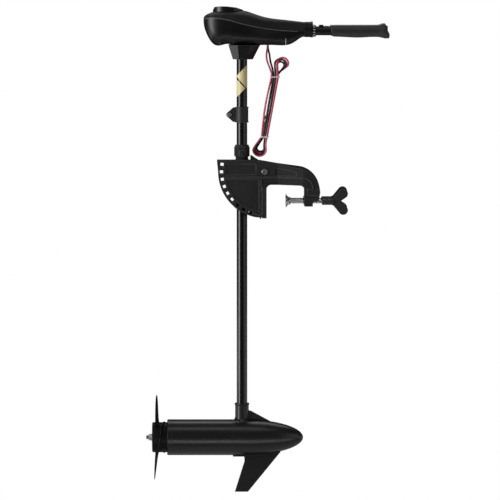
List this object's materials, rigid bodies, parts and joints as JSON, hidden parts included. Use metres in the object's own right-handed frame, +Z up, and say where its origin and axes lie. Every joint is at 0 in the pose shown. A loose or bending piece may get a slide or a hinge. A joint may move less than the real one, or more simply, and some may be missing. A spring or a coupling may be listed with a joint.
{
  "type": "trolling motor",
  "caption": "Hand-steered electric outboard: clamp bracket with stepped tilt arm, long shaft, control head with twist tiller, torpedo motor, skeg and propeller.",
  "frame": {"origin": "on the bracket's flat face that bears on the outside of the boat's transom, at clamp height, in the mid plane", "axes": "+X forward into the boat, out of the transom face; +Z up along the shaft; +Y to port"},
  "size_m": [0.6436, 0.134, 1.2866],
  "materials": {
    "bracket_black": "satin, lightly textured glass-filled nylon",
    "knob_black": "matte moulded",
    "bright_steel": "bright turned stainless",
    "small_steel": "zinc plated",
    "insert_brass": "cast brass",
    "bush_white": "acetal, black",
    "shaft_black": "glossy composite tube",
    "label_gold": "printed film with no lettering",
    "cover_black": "satin gloss moulding",
    "gauge_black": "gloss moulding",
    "lens_smoke": "smoked window",
    "button_rubber": "matte",
    "switch_plastic": "moulded",
    "tiller_black": "moulded",
    "grip_rubber": "matte soft grip",
    "lead_red": "red insulation",
    "lead_black": "black insulation",
    "lead_hank": "red and black insulation folded together",
    "tie_white": "nylon tie",
    "terminal_tin": "tinned copper",
    "motor_black": "satin black paint on steel",
    "casting_black": "satin black paint on die-cast aluminium",
    "skeg_black": "satin moulding",
    "magnet_grey": "ferrite",
    "brush_carbon": "carbon block",
    "seal_rubber": "nitrile",
    "core_steel": "stacked laminations",
    "winding_copper": "lacquered copper"
  },
  "bodies": {
    "bracket": {"bracket_body": "bracket_black", "clamp_inserts": "insert_brass", "pivot_bolt": "bright_steel", "pivot_nut": "bright_steel"},
    "pad_near": {"clamp_pad_near": "bright_steel"},
    "pad_far": {"clamp_pad_far": "bright_steel"},
    "clamp_near": {"clamp_screw_near": "bright_steel", "clamp_knob_near": "knob_black"},
    "clamp_far": {"clamp_screw_far": "bright_steel", "clamp_knob_far": "knob_black"},
    "hinge": {"hinge_block": "bracket_black", "pivot_bush": "bush_white", "steering_collar": "bracket_black", "steering_screw": "bright_steel", "release_spring": "small_steel"},
    "release_bar": {"tilt_release_bar": "bracket_black"},
    "lock_near": {"lock_pin_near": "bright_steel"},
    "lock_far": {"lock_pin_far": "bright_steel"},
    "tension": {"tension_knob": "knob_black"},
    "swivel": {"swivel_bush": "bush_white"},
    "shaft": {"shaft_tube": "shaft_black", "shaft_label": "label_gold", "head_lower_cover": "cover_black", "head_upper_cover": "cover_black", "junction_cover": "cover_black", "neck": "cover_black", "gauge_cap": "gauge_black", "gauge_lens": "lens_smoke", "speed_switch": "switch_plastic", "head_screws": "small_steel", "tiller_ferrule": "tiller_black", "lead_red": "lead_red", "lead_black": "lead_black", "lead_hank": "lead_hank", "cable_ties": "tie_white", "ring_terminals": "terminal_tin", "motor_tube": "motor_black", "nose_casting": "casting_black", "skeg": "skeg_black", "rear_end_cap": "casting_black", "motor_bolts": "small_steel", "motor_magnets": "magnet_grey", "brush_holder": "switch_plastic", "motor_brushes": "brush_carbon", "motor_bearings": "small_steel", "shaft_seal": "seal_rubber"},
    "collar": {"depth_collar": "knob_black", "collar_bolt": "bright_steel"},
    "collar_nut": {"collar_knob": "knob_black"},
    "twist": {"dial_ring": "tiller_black", "throttle_tube": "tiller_black"},
    "grip": {"grip_sleeve": "tiller_black", "tiller_grip": "grip_rubber"},
    "rotor": {"armature_shaft": "small_steel", "armature_core": "core_steel", "armature_windings": "winding_copper", "propeller": "skeg_black", "drive_pin": "small_steel", "prop_nut": "small_steel"},
    "button": {"test_button": "button_rubber"}
  },
  "joints": [
    {"name": "pad_slide_near", "type": "slide", "parent": "bracket", "child": "pad_near", "axis": [1, 0, 0], "range_m": [-0.004, 0.033]},
    {"name": "screw_turn_near", "type": "hinge", "parent": "pad_near", "child": "clamp_near", "pos_m": [0.1, -0.052, 0], "axis": [1, 0, 0], "range_deg": [-740, 5960]},
    {"name": "pad_slide_far", "type": "slide", "parent": "bracket", "child": "pad_far", "axis": [1, 0, 0], "range_m": [-0.004, 0.033]},
    {"name": "screw_turn_far", "type": "hinge", "parent": "pad_far", "child": "clamp_far", "pos_m": [0.1, 0.052, 0], "axis": [1, 0, 0], "range_deg": [-740, 5960]},
    {"name": "tilt", "type": "hinge", "parent": "bracket", "child": "hinge", "pos_m": [-0.005, 0, 0.078], "axis": [0, 1, 0], "range_deg": [0, 60]},
    {"name": "tilt_release", "type": "slide", "parent": "hinge", "child": "release_bar", "axis": [0, 0, -1], "range_m": [0, 0.008], "stiffness_N_per_m": 600, "springref_m": -0.008, "deforming": ["release_spring"]},
    {"name": "lock_draw_near", "type": "slide", "parent": "hinge", "child": "lock_near", "axis": [0, 1, 0], "range_m": [0, 0.008]},
    {"name": "lock_draw_far", "type": "slide", "parent": "hinge", "child": "lock_far", "axis": [0, -1, 0], "range_m": [0, 0.008]},
    {"name": "tension_turn", "type": "hinge", "parent": "hinge", "child": "tension", "pos_m": [-0.065, 0.02, 0.13], "axis": [0, 1, 0], "range_deg": [-90, 360]},
    {"name": "steer", "type": "hinge", "parent": "hinge", "child": "swivel", "pos_m": [-0.065, 0, 0], "axis": [0, 0, 1], "range_deg": [-180, 180]},
    {"name": "depth", "type": "slide", "parent": "swivel", "child": "shaft", "axis": [0, 0, 1], "range_m": [0, 0.4]},
    {"name": "collar_slide", "type": "slide", "parent": "shaft", "child": "collar", "axis": [0, 0, 1], "range_m": [-0.055, 0.02]},
    {"name": "collar_knob_turn", "type": "hinge", "parent": "collar", "child": "collar_nut", "pos_m": [-0.0975, 0.012, 0.227], "axis": [0, 1, 0], "range_deg": [-90, 360]},
    {"name": "throttle_twist", "type": "hinge", "parent": "shaft", "child": "twist", "pos_m": [0.2, 0, 0.448], "axis": [1, 0, 0], "range_deg": [-60, 100]},
    {"name": "tiller_extend", "type": "slide", "parent": "twist", "child": "grip", "axis": [1, 0, 0], "range_m": [0, 0.11]},
    {"name": "propeller_spin", "type": "hinge", "parent": "shaft", "child": "rotor", "pos_m": [-0.2, 0, -0.6294], "axis": [1, 0, 0], "continuous": true},
    {"name": "gauge_press", "type": "slide", "parent": "shaft", "child": "button", "axis": [0, 0, -1], "range_m": [0, 0.002], "stiffness_N_per_m": 200, "springref_m": -0.002}
  ],
  "couplings": [
    {"joint": "screw_turn_near", "follows": "pad_slide_near", "rad_per_m": 3141.6},
    {"joint": "screw_turn_far", "follows": "pad_slide_far", "rad_per_m": 3141.6},
    {"joint": "lock_draw_near", "follows": "tilt_release", "ratio": 1},
    {"joint": "lock_draw_far", "follows": "tilt_release", "ratio": 1}
  ]
}
